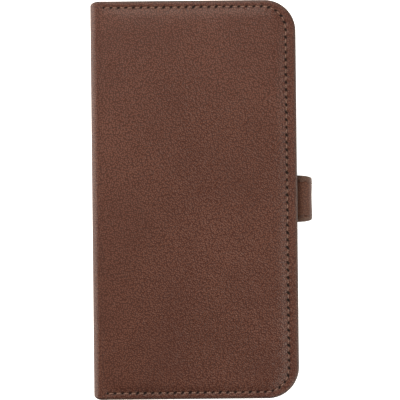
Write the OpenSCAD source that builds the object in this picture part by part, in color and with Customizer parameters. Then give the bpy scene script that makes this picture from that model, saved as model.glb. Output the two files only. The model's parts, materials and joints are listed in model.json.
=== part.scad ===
// Phone wallet case: a sewn leather book cover around a moulded phone shell, closed by a magnetic
// strap. The case lies on its back. +Z points out of the front cover, +Y to the top of the case and
// +X to the free edge with the strap. The origin is under the middle of the case. Sizes are in mm.

/* [Phone] */
// Width of the phone that the shell holds
phone_w = 77.4; // [72:0.1:82]
// Height of the phone
phone_h = 157.5; // [150:0.1:168]
// Thickness of the phone
phone_t = 7.9; // [7:0.1:10]
// Corner radius of the phone, seen from the front
phone_r = 8.8; // [6:0.1:11]

/* [Shell] */
// Thickness of the shell's walls and floor
shell_wall = 1.2; // [1:0.1:1.5]
// Height of the lip above the phone's glass
lip_h = 0.8; // [0.6:0.1:1.2]
// How far the lip reaches in over the phone
lip_reach = 0.8; // [0.5:0.1:1.2]
// Width of the camera window in the shell
window_w = 16; // [14:0.5:20]
// Height of the camera window in the shell
window_h = 32; // [26:0.5:40]
// Middle of the camera window, in from the phone's free side
window_in = 14.5; // [13:0.5:18]
// Middle of the camera window, down from the phone's top end
window_down = 22.5; // [20:0.5:26]

/* [Cover] */
// Room between the shell and the spine's outer face
hinge_margin = 3.8; // [3.8:0.1:5]
// Room between the shell and the covers' free edge
free_margin = 1.4; // [1:0.1:2]
// Room between the shell and each end of the covers
end_margin = 2.55; // [2:0.05:4]
// Radius of the two corners at the free edge
corner_r = 13; // [12:0.5:16]
// Outer radius of the leather where it turns from a cover into the spine
fold_r = 3.0; // [2.5:0.1:3.2]

/* [Layers] */
// Thickness of the outer leather
leather_t = 1.0; // [0.8:0.1:1.3]
// Thickness of the stiffening boards
board_t = 0.8; // [0.8:0.1:1.2]
// Thickness of the lining
lining_t = 0.5; // [0.4:0.1:0.8]
// Thickness of the adhesive under the shell
adhesive_t = 0.3; // [0.2:0.1:0.6]
// Thickness of the foam under the front leather
padding_t = 0.7; // [0.5:0.1:1.5]
// Thickness of the leather of each pocket
pocket_t = 0.5; // [0.5:0.1:0.7]

/* [Stitching] */
// Distance from one stitch to the next
stitch_pitch = 3.1; // [2.6:0.1:4]
// Length of the thread that shows in one stitch
stitch_len = 2.2; // [1.6:0.1:2.4]
// Seam line, in from the top and bottom edges
seam_in_ends = 2.8; // [2.4:0.1:3.4]
// Seam line, in from the free edge
seam_in_side = 4.3; // [3.4:0.1:5]

/* [Pockets] */
// Card pocket mouth nearest the free edge, from the seam at the free edge
pocket_depth = 37; // [32:0.5:42]
// How much deeper each further card pocket reaches
pocket_step = 11; // [8:0.5:12]
// Radius of the thumb notch in the last card pocket
notch_r = 9; // [6:0.5:12]

/* [Strap] */
// Width of the strap
strap_w = 19.5; // [16:0.5:24]
// Thickness of the strap, leather and lining together
strap_t = 1.8; // [1.6:0.1:2]
// How far the strap stands out past the covers
strap_reach = 5.8; // [5:0.1:7]
// Length of the strap that lies under the front cover
tip_len = 25.6; // [22:0.1:28]
// Radius of the corners at the strap's end
tip_r = 6; // [4:0.5:8]
// Radius of the magnet in the strap
magnet_r = 5.5; // [4:0.5:6]

/* [Hidden] */

$fn = 96;
past = 1; // how far a cutting shape runs past the face it cuts
gap = 0.3; // clearance between pieces that move past each other

leather_colour = "#65453b";
thread_colour = "#8f726a";
suede_colour = "#8a6a55";
board_colour = "#8c8377";
padding_colour = "#b9b2a6";
adhesive_colour = "#d9d4cc";
shell_colour = "#2c2421";

// Plan of the case
shell_w = phone_w + 2 * shell_wall;
shell_h = phone_h + 2 * shell_wall;
cover_w = hinge_margin + shell_w + free_margin;
cover_h = shell_h + 2 * end_margin;
case_w = cover_w + strap_reach;
left = -case_w / 2;
right = left + cover_w;
half_h = cover_h / 2;
panel_left = left + fold_r + 0.5; // clear of the turned leather at every angle of the fold
board_left = panel_left + 2; // boards and padding stop short of the fold, so that it stays soft
spine_board_t = 0.5; // thinner than the covers' boards
shell_left = left + hinge_margin;
shell_right = shell_left + shell_w;
shell_mid_x = (shell_left + shell_right) / 2;
window_x = shell_right - shell_wall - window_in;
window_y = phone_h / 2 - window_down;
window_frame = 1; // the cover's window is this much larger than the shell's on each side

// Heights of the layers, from the back face up
z_back_board = leather_t;
z_back_lining = z_back_board + board_t;
z_adhesive = z_back_lining + lining_t;
z_shell = z_adhesive + adhesive_t;
z_bay = z_shell + shell_wall;
z_lip = z_bay + phone_t;
z_shell_top = z_lip + lip_h;
z_tip = z_shell_top + gap;
z_pockets = z_tip + strap_t + gap;
z_cash = z_pockets + 3 * pocket_t;
z_front_lining = z_cash + pocket_t;
z_front_board = z_front_lining + lining_t;
z_padding = z_front_board + board_t;
z_front = z_padding + padding_t;
case_t = z_front + leather_t;

// Seam: three sides, open at the spine
seam_start = left + 5.6;
seam_x = right - seam_in_side;
seam_y = half_h - seam_in_ends;
seam_r = corner_r - 3.5;
groove_w = 0.9;
groove_d = 0.35;
thread_w = 0.5;
thread_sunk = 0.05; // top of the thread below the surface
thread_t = 0.25;

// Strap: a C seen from the end, between two fold lines
strap_skin_t = strap_t / 3; // lining side; the rest is the outer leather
strap_end_r = strap_t / 2;
fold_x = right + strap_end_r + gap;
z_fold_low = leather_t + 0.6;
z_fold_high = z_tip + strap_t / 2;
bend_r = left + case_w - strap_end_r - fold_x;
tip_right = fold_x - strap_end_r - gap;
tip_left = tip_right - tip_len;
magnet_x = tip_left + 11;
magnet_t = 0.7;
strap_seam_in = 2.2;
root_len = 9.6;

pocket_inset = 0.8; // pocket panels end this far inside the cover's edge

// Flat shapes

// From x0 to x1 and y1 to each side, with corners of radius r0 at x0 and r1 at x1
module outline(x0, x1, y1, r0, r1) {
  if (x1 - x0 > r0 + r1) {
    translate([x0 + r0, -y1]) square([x1 - x0 - r0 - r1, 2 * y1]);
  }
  rounded_side(x0, y1, r0, 1);
  rounded_side(x1, y1, r1, -1);
}

// The strip of an outline beside its edge at x, with its two corners; inward is 1 towards +X
module rounded_side(x, y1, r, inward) {
  if (r > 0) {
    translate([inward > 0 ? x : x - r, r - y1]) square([r, 2 * (y1 - r)]);
    for (side = [-1, 1]) {
      translate([x + inward * r, side * (y1 - r)]) circle(r);
    }
  }
}

// A cover panel from x0 to the free edge, set in from the edge on its three free sides
module cover_outline(x0, inset) {
  outline(x0, right - inset, half_h - inset, 0, corner_r - inset);
}

// The camera window, larger than the shell's by grow on each side
module window_outline(grow) {
  r = window_w / 2 + grow;
  reach = window_h / 2 - window_w / 2;
  translate([window_x - r, window_y - reach]) square([2 * r, 2 * reach]);
  for (side = [-1, 1]) {
    translate([window_x, window_y + side * reach]) circle(r);
  }
}

// A band of the given width along the seam line, from x0 on
module seam_band(x0, width) {
  difference() {
    outline(x0, seam_x + width / 2, seam_y + width / 2, 0, seam_r + width / 2);
    outline(x0 - past, seam_x - width / 2, seam_y - width / 2, 0, seam_r - width / 2);
  }
}

// Stitches: short straight threads along the seam line

// [x, y, direction] of the point that is s along the seam, when the seam starts at x0
function seam_point(s, x0) =
  let (run = seam_x - seam_r - x0,
       bend = PI / 2 * seam_r,
       side = 2 * (seam_y - seam_r))
  s < run ? [x0 + s, seam_y, 0] :
  s < run + bend ? bend_point(seam_y - seam_r, 90 - 90 * (s - run) / bend) :
  s < run + bend + side ? [seam_x, seam_y - seam_r - (s - run - bend), -90] :
  s < run + 2 * bend + side ? bend_point(seam_r - seam_y, -90 * (s - run - bend - side) / bend) :
  [seam_x - seam_r - (s - run - 2 * bend - side), -seam_y, 180];

// [x, y, direction] at angle a round the corner whose centre is at height y
function bend_point(y, a) =
  [seam_x - seam_r + seam_r * cos(a), y + seam_r * sin(a), a - 90];

function seam_length(x0) =
  2 * (seam_x - seam_r - x0) + PI * seam_r + 2 * (seam_y - seam_r);

// The threads of the whole seam from x0 on, between heights z and z + t
module seam_stitches(x0, z, t) {
  count = floor(seam_length(x0) / stitch_pitch);
  for (i = [0:count - 1]) {
    p = seam_point((i + 0.5) * seam_length(x0) / count, x0);
    translate([p[0], p[1], z]) rotate(p[2]) translate([-stitch_len / 2, -thread_w / 2, 0])
      cube([stitch_len, thread_w, t]);
  }
}

// Back cover

module back_leather() {
  color(leather_colour) difference() {
    linear_extrude(z_adhesive) cover_outline(panel_left, 0);
    translate([0, 0, leather_t]) linear_extrude(z_adhesive) cover_outline(panel_left - past, leather_t);
    translate([0, 0, -past]) linear_extrude(leather_t + 2 * past) window_outline(window_frame);
    translate([0, 0, -past]) linear_extrude(groove_d + past) seam_band(seam_start, groove_w);
    translate([right - root_len, -strap_w / 2, leather_t]) cube([root_len + past, strap_w, board_t]);
  }
}

// A layer inside the back cover's turned edge, from x0 on, with the camera window cut out
module back_layer(x0, z, t) {
  translate([0, 0, z]) linear_extrude(t) difference() {
    cover_outline(x0, leather_t);
    window_outline(window_frame);
  }
}

module back_board() {
  color(board_colour) difference() {
    back_layer(board_left, z_back_board, board_t);
    translate([right - root_len, -strap_w / 2, z_back_board - past])
      cube([root_len, strap_w, board_t + 2 * past]);
  }
}

module back_lining() {
  color(suede_colour) back_layer(panel_left, z_back_lining, lining_t);
}

module back_stitching() {
  color(thread_colour) seam_stitches(seam_start, thread_sunk, thread_t);
}

module strap_root() {
  color(leather_colour) translate([right - root_len, -strap_w / 2, z_back_board])
    cube([root_len, strap_w, board_t]);
}

// Phone shell

module shell_adhesive() {
  pad_in = 4;
  color(adhesive_colour) translate([0, 0, z_adhesive]) linear_extrude(adhesive_t) difference() {
    outline(shell_left + pad_in, shell_right - pad_in, shell_h / 2 - pad_in, 6, 6);
    window_outline(window_frame);
  }
}

// The phone's outline, larger by grow on each side
module phone_outline(grow) {
  outline(shell_left + shell_wall - grow, shell_right - shell_wall + grow, phone_h / 2 + grow,
    phone_r + grow, phone_r + grow);
}

// A slot with round ends through the shell's bottom wall, w wide and h high
module end_slot(x, w, h) {
  translate([x, shell_wall - shell_h / 2 + past, z_bay + phone_t / 2]) rotate([90, 0, 0])
    linear_extrude(shell_wall + 2 * past) {
      square([w - h, h], center = true);
      for (side = [-1, 1]) {
        translate([side * (w - h) / 2, 0]) circle(h / 2);
      }
    }
}

// A raised pad over one of the phone's buttons, on the free side (1) or the spine side (-1)
module button_pad(side, y, length) {
  pad_t = 0.5;
  pad_h = 3.2;
  x = side > 0 ? shell_right : shell_left - pad_t;
  translate([x, y - length / 2, z_bay + phone_t / 2 - pad_h / 2]) cube([pad_t, length, pad_h]);
}

module phone_shell() {
  port_w = 13;
  port_h = 5.4;
  speaker_w = 14;
  speaker_h = 2.6;
  speaker_x = 20;
  color(shell_colour) {
    difference() {
      translate([0, 0, z_shell]) linear_extrude(z_shell_top - z_shell) phone_outline(shell_wall);
      translate([0, 0, z_bay]) linear_extrude(phone_t) phone_outline(0);
      translate([0, 0, z_bay]) linear_extrude(phone_t + lip_h + past) phone_outline(-lip_reach);
      translate([0, 0, z_shell - past]) linear_extrude(shell_wall + 2 * past) window_outline(0);
      end_slot(shell_mid_x, port_w, port_h);
      for (side = [-1, 1]) {
        end_slot(shell_mid_x + side * speaker_x, speaker_w, speaker_h);
      }
    }
    button_pad(1, 30, 14);
    button_pad(-1, 24, 11);
    button_pad(-1, 38, 11);
  }
}

// Spine

// The spine's leather with the turn at each fold, which moves with the spine
module spine_leather() {
  color(leather_colour) translate([left + fold_r, half_h, 0]) rotate([90, 0, 0])
    linear_extrude(cover_h) mirror([1, 0]) {
      translate([fold_r - leather_t, fold_r]) square([leather_t, case_t - 2 * fold_r]);
      quarter_ring(0, fold_r, fold_r, fold_r - leather_t, -1);
      quarter_ring(0, case_t - fold_r, fold_r, fold_r - leather_t, 1);
    }
}

// One flat layer inside the spine, from depth in from its outer face, and short of both ends by inset
module spine_layer(depth, t, inset) {
  flat_start = fold_r + 0.6;
  translate([left + depth, inset - half_h, flat_start])
    cube([t, cover_h - 2 * inset, case_t - 2 * flat_start]);
}

module spine_board() {
  color(board_colour) spine_layer(leather_t, spine_board_t, 2 * leather_t);
}

module spine_lining() {
  color(suede_colour) spine_layer(leather_t + spine_board_t, lining_t, leather_t);
}

// Front cover

module front_leather() {
  color(leather_colour) difference() {
    translate([0, 0, z_front_lining]) linear_extrude(case_t - z_front_lining)
      cover_outline(panel_left, 0);
    translate([0, 0, z_front_lining - past]) linear_extrude(z_front - z_front_lining + past)
      cover_outline(panel_left - past, leather_t);
    translate([0, 0, case_t - groove_d]) linear_extrude(groove_d + past)
      seam_band(seam_start, groove_w);
  }
}

// A layer inside the front cover's turned edge, from x0 on
module front_layer(x0, z, t) {
  translate([0, 0, z]) linear_extrude(t) cover_outline(x0, leather_t);
}

module front_padding() {
  color(padding_colour) front_layer(board_left, z_padding, padding_t);
}

// The steel plate's block, over the magnet
module plate_block() {
  plate_l = 24;
  plate_w = 16;
  plate_t = 0.5;
  translate([magnet_x - plate_l / 2, -plate_w / 2, z_front_board]) cube([plate_l, plate_w, plate_t]);
}

module front_board() {
  color(board_colour) difference() {
    front_layer(board_left, z_front_board, board_t);
    plate_block();
  }
}

module clasp_plate() {
  color("silver") plate_block();
}

module front_lining() {
  color(suede_colour) front_layer(panel_left, z_front_lining, lining_t);
}

// Pockets: flat panels sewn in along the three free sides, with their mouths towards the spine.
// Panel 0 is the cash pocket, and panels 1 to 3 are the card pockets, each nearer the phone.
function mouth_x(panel) =
  panel == 0 ? panel_left + 6 : seam_x - pocket_depth - (3 - panel) * pocket_step;

module pocket_panel(panel) {
  color(leather_colour) translate([0, 0, z_cash - panel * pocket_t]) linear_extrude(pocket_t)
    cover_outline(mouth_x(panel), pocket_inset);
}

module cash_pocket() {
  pocket_panel(0);
}

module card_pocket_1() {
  pocket_panel(1);
}

module card_pocket_2() {
  pocket_panel(2);
}

module card_pocket_3() {
  difference() {
    pocket_panel(3);
    translate([mouth_x(3), 0, z_pockets - past]) cylinder(r = notch_r, h = pocket_t + 2 * past);
    translate([0, 0, z_pockets - past]) linear_extrude(thread_t + thread_sunk + past)
      seam_band(mouth_x(3) + stitch_pitch, groove_w);
  }
}

module front_stitching() {
  color(thread_colour) seam_stitches(seam_start, case_t - thread_sunk - thread_t, thread_t);
}

module pocket_stitching() {
  color(thread_colour) seam_stitches(mouth_x(3) + stitch_pitch, z_pockets + thread_sunk, thread_t);
}

// Strap

// A layer of the C between depths d0 and d1 from the strap's outer face, seen along the strap's
// width: a half turn at each fold line joined by a straight stretch
module loop_layer(d0, d1) {
  outer = bend_r + strap_end_r - d0;
  inner = bend_r + strap_end_r - d1;
  z_mid_low = z_fold_low + bend_r;
  z_mid_high = z_fold_high - bend_r;
  translate([fold_x + inner, z_mid_low]) square([outer - inner, z_mid_high - z_mid_low]);
  quarter_ring(fold_x, z_mid_low, outer, inner, -1);
  quarter_ring(fold_x, z_mid_high, outer, inner, 1);
}

// The right upper (1) or right lower (-1) quarter of a ring
module quarter_ring(x, z, outer, inner, side) {
  intersection() {
    translate([x, z]) difference() {
      circle(outer);
      circle(inner);
    }
    translate([x, side > 0 ? z : z - outer]) square([outer, outer]);
  }
}

// The layer's share of the round end on the fold line at height z; side is -1 at the lower fold
module loop_end(z, d0, d1, side) {
  y0 = side > 0 ? strap_end_r - d1 : d0 - strap_end_r;
  intersection() {
    translate([fold_x, z]) circle(strap_end_r);
    translate([fold_x - strap_end_r, z + y0]) square([strap_end_r, d1 - d0]);
  }
}

// Stands a shape drawn along the strap's width up in the case, from y0 over a width w
module across_strap(y0, w) {
  translate([0, y0 + w, 0]) rotate([90, 0, 0]) linear_extrude(w) children();
}

module strap_loop_leather() {
  leather = strap_t - strap_skin_t;
  color(leather_colour) difference() {
    across_strap(-strap_w / 2, strap_w) {
      loop_layer(0, leather);
      loop_end(z_fold_low, 0, leather, -1);
      loop_end(z_fold_high, 0, leather, 1);
    }
    for (side = [-1, 1]) {
      across_strap(side * (strap_w / 2 - strap_seam_in) - groove_w / 2, groove_w)
        loop_layer(-past, groove_d);
    }
  }
}

module strap_loop_lining() {
  leather = strap_t - strap_skin_t;
  color(suede_colour) across_strap(-strap_w / 2, strap_w) {
    loop_layer(leather, strap_t);
    loop_end(z_fold_low, leather, strap_t, -1);
    loop_end(z_fold_high, leather, strap_t, 1);
  }
}

module strap_loop_stitching() {
  color(thread_colour) for (side = [-1, 1]) {
    across_strap(side * (strap_w / 2 - strap_seam_in) - thread_w / 2, thread_w)
      loop_layer(thread_sunk, thread_sunk + thread_t);
  }
}

// The strap's end under the front cover, set in from its edge
module tip_outline(inset) {
  outline(tip_left + inset, tip_right, strap_w / 2 - inset, tip_r - inset, 0);
}

module magnet_disc() {
  translate([magnet_x, 0, z_tip + strap_skin_t]) cylinder(r = magnet_r, h = magnet_t);
}

module strap_tip_leather() {
  color(leather_colour) difference() {
    translate([0, 0, z_tip + strap_skin_t]) linear_extrude(strap_t - strap_skin_t) tip_outline(0);
    magnet_disc();
    translate([0, 0, z_tip + strap_t - groove_d]) linear_extrude(groove_d + past) difference() {
      tip_outline(strap_seam_in - groove_w / 2);
      tip_outline(strap_seam_in + groove_w / 2);
    }
  }
}

module strap_tip_lining() {
  color(suede_colour) translate([0, 0, z_tip]) linear_extrude(strap_skin_t) tip_outline(0);
}

module clasp_magnet() {
  color("silver") magnet_disc();
}

// Threads along the two long sides of the strap's end and across it
module strap_tip_stitching() {
  z = z_tip + strap_t - thread_sunk - thread_t;
  side_y = strap_w / 2 - strap_seam_in;
  side_x = tip_left + tip_r + 1;
  side_count = floor((tip_right - side_x) / stitch_pitch);
  end_count = floor(2 * (strap_w / 2 - tip_r) / stitch_pitch);
  color(thread_colour) {
    for (side = [-1, 1], i = [0:side_count - 1]) {
      translate([side_x + i * stitch_pitch, side * side_y - thread_w / 2, z])
        cube([stitch_len, thread_w, thread_t]);
    }
    for (i = [0:end_count - 1]) {
      translate([tip_left + strap_seam_in - thread_w / 2,
        (i - end_count / 2) * stitch_pitch + (stitch_pitch - stitch_len) / 2, z])
        cube([thread_w, stitch_len, thread_t]);
    }
  }
}

back_leather();
back_board();
back_lining();
back_stitching();
shell_adhesive();
phone_shell();
strap_root();
spine_leather();
spine_board();
spine_lining();
front_leather();
front_padding();
front_board();
clasp_plate();
front_lining();
cash_pocket();
card_pocket_1();
card_pocket_2();
card_pocket_3();
front_stitching();
pocket_stitching();
strap_loop_leather();
strap_loop_lining();
strap_loop_stitching();
strap_tip_leather();
strap_tip_lining();
clasp_magnet();
strap_tip_stitching();
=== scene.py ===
"""Looks of a leather phone wallet case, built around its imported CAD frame.

The outer leather and the lining are each drawn on an unrolled sheet (u across the case, y along it, h
out of it) that wraps from a cover round the fold to the middle of the spine. Lengths are in
millimetres until a mesh is made.
"""
import json
import random
from math import asin, ceil, cos, exp, floor, hypot, pi, radians, sin, sqrt

import bmesh
import bpy
import numpy as np
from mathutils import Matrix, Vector, geometry, noise


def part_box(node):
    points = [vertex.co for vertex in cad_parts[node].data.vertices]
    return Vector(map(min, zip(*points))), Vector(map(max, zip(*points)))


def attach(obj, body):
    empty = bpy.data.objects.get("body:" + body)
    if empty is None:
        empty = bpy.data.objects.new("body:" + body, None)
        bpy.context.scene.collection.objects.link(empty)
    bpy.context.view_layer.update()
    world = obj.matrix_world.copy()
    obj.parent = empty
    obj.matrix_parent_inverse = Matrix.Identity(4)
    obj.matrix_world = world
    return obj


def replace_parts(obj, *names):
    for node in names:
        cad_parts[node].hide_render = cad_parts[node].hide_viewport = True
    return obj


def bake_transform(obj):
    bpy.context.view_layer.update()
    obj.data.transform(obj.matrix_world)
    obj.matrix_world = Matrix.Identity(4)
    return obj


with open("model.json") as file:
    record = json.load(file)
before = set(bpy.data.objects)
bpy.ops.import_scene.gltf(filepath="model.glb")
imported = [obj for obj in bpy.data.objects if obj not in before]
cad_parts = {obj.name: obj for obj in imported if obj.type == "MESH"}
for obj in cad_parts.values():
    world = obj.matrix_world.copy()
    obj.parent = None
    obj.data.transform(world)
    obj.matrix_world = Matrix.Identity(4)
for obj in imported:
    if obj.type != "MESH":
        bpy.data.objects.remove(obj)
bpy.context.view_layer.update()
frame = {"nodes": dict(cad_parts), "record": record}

MM = 0.001
random.seed(7)


# ---- sizes from the frame

def box(node):
    """Lowest and highest corner of a CAD node, in millimetres."""
    low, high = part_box(node)
    return np.array(low) / MM, np.array(high) / MM


FRONT_LOW, FRONT_HIGH = box("front_leather")
BACK_HIGH = box("back_leather")[1]
SPINE_LOW, SPINE_HIGH = box("spine_leather")
SEAM_HIGH = box("front_stitching")[1]
SHELL_LOW, SHELL_HIGH = box("phone_shell")
TIP_LOW, TIP_HIGH = box("strap_tip_leather")
TIP_LINING_LOW = box("strap_tip_lining")[0]
LOOP_LOW, LOOP_HIGH = box("strap_loop_leather")

LEFT = SPINE_LOW[0]
RIGHT = FRONT_HIGH[0]
HALF_H = FRONT_HIGH[1]
CASE_T = FRONT_HIGH[2]
FOLD_R = SPINE_HIGH[0] - SPINE_LOW[0]
CORNER_R = 13.0  # of the covers' free corners, as in the CAD model
FLAT_LEFT = LEFT + FOLD_R
ARC_LENGTH = FOLD_R * pi / 2
MID_SPINE = FLAT_LEFT - ARC_LENGTH - (CASE_T / 2 - FOLD_R)
SPINE_DEPTH = 2.0
FOLD_DEPTH = 1.6
FRONT_DEPTH = CASE_T - FRONT_LOW[2]
BACK_DEPTH = BACK_HIGH[2]

THREAD_R = 0.25
PITCH = 3.1
SEAM_START = LEFT + 5.6
SEAM_X = SEAM_HIGH[0] - THREAD_R
SEAM_Y = SEAM_HIGH[1] - THREAD_R
SEAM_R = CORNER_R - 3.5
SEAM_RUN = SEAM_X - SEAM_R - SEAM_START
SEAM_BEND = pi / 2 * SEAM_R
SEAM_LENGTH = 2 * SEAM_RUN + 2 * SEAM_BEND + 2 * (SEAM_Y - SEAM_R)
STITCHES = int(SEAM_LENGTH / PITCH)
STITCH_STEP = SEAM_LENGTH / STITCHES
SAMPLES = 6  # mesh samples from one stitch hole to the next


# ---- small mesh tools

def smooth_step(value, low, high):
    t = np.clip((np.asarray(value, float) - low) / (high - low), 0, 1)
    return t * t * (3 - 2 * t)


def add_object(name, data):
    obj = bpy.data.objects.new(name, data)
    bpy.context.collection.objects.link(obj)
    return obj


def new_object(name, points, faces, material, body=None, closed=True):
    """A smooth-shaded mesh object from points in millimetres. A closed one gets its faces turned outward."""
    data = bpy.data.meshes.new(name)
    data.from_pydata((np.asarray(points, float) * MM).tolist(), [], faces)
    if closed:
        turn_outward(data)
    data.shade_smooth()
    data.materials.append(material)
    obj = add_object(name, data)
    if body:
        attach(obj, body)
    return obj


def turn_outward(data):
    mesh = bmesh.new()
    mesh.from_mesh(data)
    bmesh.ops.recalc_face_normals(mesh, faces=mesh.faces)
    mesh.to_mesh(data)
    mesh.free()


def give_attributes(obj, surface, places, grain_start):
    """Gives the mesh what its material reads: its edge tone (edge paint with painted shade and painted
    highlight), its painted pit shade and its unrolled places, in metres, as grain.
    """
    places = np.array(places) * MM + (grain_start, 0, 0)
    for name, kind, field, values in (("grain", "FLOAT_VECTOR", "vector", places),
                                      ("edge_paint_shade_highlight", "FLOAT", "value", surface.edge_paint_shade_highlight),
                                      ("pit_shade", "FLOAT", "value", surface.pit_shade)):
        layer = obj.data.attributes.new(name, kind, "POINT")
        layer.data.foreach_set(field, np.asarray(values, np.float32).ravel())


def sharpen(obj, degrees):
    """Marks edges sharper than the angle, so that flat faces stay flat beside rounded ones."""
    obj.data.set_sharp_from_angle(angle=radians(degrees))


class Surface:
    """Points (a, b, c) with their edge tone and pit shade, and the faces between them. The edge tone is how
    far the colour turns to the material's edge colour, which is edge paint with painted shade on the covers'
    turned edges and a painted highlight on the strap's rims, and the pit shade is how dark a groove, hole or
    crease is painted where shade falls in it, both 0 to 1."""

    def __init__(self):
        self.points = []
        self.edge_paint_shade_highlight = []
        self.pit_shade = []
        self.faces = []

    def add(self, points, edge_paint_shade_highlight=0.0, pit_shade=0.0):
        """Adds points and returns their indices. The edge tone and the pit shade are each one number or one
        per point.
        """
        start = len(self.points)
        self.points += [tuple(p) for p in points]
        self.edge_paint_shade_highlight += list(np.broadcast_to(edge_paint_shade_highlight, len(points)))
        self.pit_shade += list(np.broadcast_to(pit_shade, len(points)))
        return list(range(start, start + len(points)))

    def ring(self, flat, height, edge_paint_shade_highlight=0.0, pit_shade=0.0):
        """Adds the points (a, b) of flat at a height, which is one number or one per point."""
        return self.add(np.column_stack([flat, np.broadcast_to(height, len(flat))]), edge_paint_shade_highlight, pit_shade)

    def skin(self, rings, closed=False):
        """Quads between each ring and the next. They face +h where the next one lies inside a clockwise
        ring, or outside an anticlockwise one."""
        for a, b in zip(rings, rings[1:]):
            for i in range(len(a) if closed else len(a) - 1):
                j = (i + 1) % len(a)
                self.faces.append((b[i], b[j], a[j], a[i]))

    def solid(self, rings):
        """Quads between closed rings, and a face over the first and the last."""
        self.skin(rings, closed=True)
        self.faces.append(tuple(reversed(rings[0])))
        self.faces.append(tuple(rings[-1]))

    def fill(self, loops, inner, keep):
        """Triangles between closed loops of points, through the inner points (a, b, c)."""
        index = [i for loop in loops for i in loop]
        edges = []
        start = 0
        for loop in loops:
            edges += [(start + k, start + (k + 1) % len(loop)) for k in range(len(loop))]
            start += len(loop)
        index += self.add(inner)
        flat = [Vector(self.points[i][:2]) for i in index]
        verts, _, triangles, origin, _, _ = geometry.delaunay_2d_cdt(flat, edges, [], 0, 1e-6)
        for triangle in triangles:
            middle = sum((verts[k] for k in triangle), Vector((0, 0))) / len(triangle)
            if keep(middle[0], middle[1]):
                self.faces.append(tuple(index[origin[k][0]] for k in triangle))


# ---- the unrolled sheet

def wrap(points, flip):
    """x, y, z of sheet points (u, y, h). flip is False for the front cover and True for the back."""
    u, y, h = np.asarray(points, float).T
    beyond = np.maximum(FLAT_LEFT - u, 0)
    angle = np.minimum(beyond / FOLD_R, pi / 2)
    down = np.maximum(beyond - ARC_LENGTH, 0)
    x = np.maximum(u, FLAT_LEFT) - (FOLD_R + h) * np.sin(angle)
    z = CASE_T - FOLD_R + (FOLD_R + h) * np.cos(angle) - down
    if flip:
        z = CASE_T - z
    return np.column_stack([x, y, z])


def seam_sample(s):
    """(edge point, seam point, inward direction) at distance s along the seam from its first hole."""
    run = min(s, SEAM_LENGTH - s)
    along = min(run / SEAM_RUN, 1.0)
    turn = pi / 2 * min(max((run - SEAM_RUN) / SEAM_BEND, 0.0), 1.0)
    down = max(run - SEAM_RUN - SEAM_BEND, 0.0) / (SEAM_Y - SEAM_R)
    out = np.array([sin(turn), cos(turn)])
    side = np.array([1.0, -1.0 if s > SEAM_LENGTH / 2 else 1.0])
    points = []
    for x, y, r in ((RIGHT, HALF_H, CORNER_R), (SEAM_X, SEAM_Y, SEAM_R)):
        middle = np.array([SEAM_START + along * (x - r - SEAM_START), (y - r) * (1 - down)])
        points.append((middle + r * out) * side)
    return *points, -out * side


def spine_edge(u):
    """Half the case's height at u: the spine is drawn in a little, which rounds the fold's ends."""
    fold = FLAT_LEFT - ARC_LENGTH
    return HALF_H - 0.8 + 0.8 * smooth_step(u, fold - 0.5, FLAT_LEFT + 0.5)


def sheet_path():
    """Samples round the three free sides, from the middle of the spine and back to it.
    Returns edge points, seam points, inward directions and distances along the seam."""
    step = STITCH_STEP / SAMPLES
    count = ceil((SEAM_START - MID_SPINE) / step)
    before = np.linspace(MID_SPINE, SEAM_START, count, endpoint=False)
    samples = [((u, spine_edge(u)), (u, SEAM_Y), (0.0, -1.0), u - SEAM_START) for u in before]
    samples += [(*seam_sample(k * step), k * step) for k in range(STITCHES * SAMPLES + 1)]
    samples += [((u, -spine_edge(u)), (u, -SEAM_Y), (0.0, 1.0), SEAM_LENGTH + SEAM_START - u)
                for u in before[::-1]]
    return [np.array(column) for column in zip(*samples)]


PATH_EDGE, PATH_SEAM, PATH_IN, PATH_ALONG = sheet_path()


def sewn(u):
    """1 over the sewn panel, 0 over the fold and the spine."""
    return smooth_step(u, LEFT + 3.6, LEFT + 7.5)


def sheet_depth(u, panel_depth):
    """Thickness of everything from the outer leather to the lining, at u."""
    fold = FLAT_LEFT - ARC_LENGTH
    spine_part = SPINE_DEPTH + (FOLD_DEPTH - SPINE_DEPTH) * smooth_step(u, fold - 2, fold + 1)
    return spine_part + (panel_depth - spine_part) * smooth_step(u, FLAT_LEFT, FLAT_LEFT + 3.5)


def waviness(u, y, seed):
    """Slow unevenness of hand-laid leather, from -1 to 1."""
    return noise.noise(Vector((u * 0.045, y * 0.045, seed))) * 0.7 + noise.noise(
        Vector((u * 0.16, y * 0.16, seed + 9.0))) * 0.3


MARGIN_H = -0.35
PAD_H = 0.4
SWELL_H = 0.35
CROWN_H = 0.2
WAVE_H = 0.05
HINGE_H = 0.12
EDGE_ROUND = 1.25
EDGE_STEPS = 6
HOLE_R = 0.5
HOLE_SLANT = 0.5
HOLE_WIDTH = 0.85
PAD_RISE = (2.4, 3.2, 4.4, 6.5)
GROOVE_OFFSETS = (-0.9, -0.65, -0.45, -0.3, -0.15, 0.0, 0.15, 0.3, 0.45, 0.65, 0.9, 1.3, 1.8)


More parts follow.
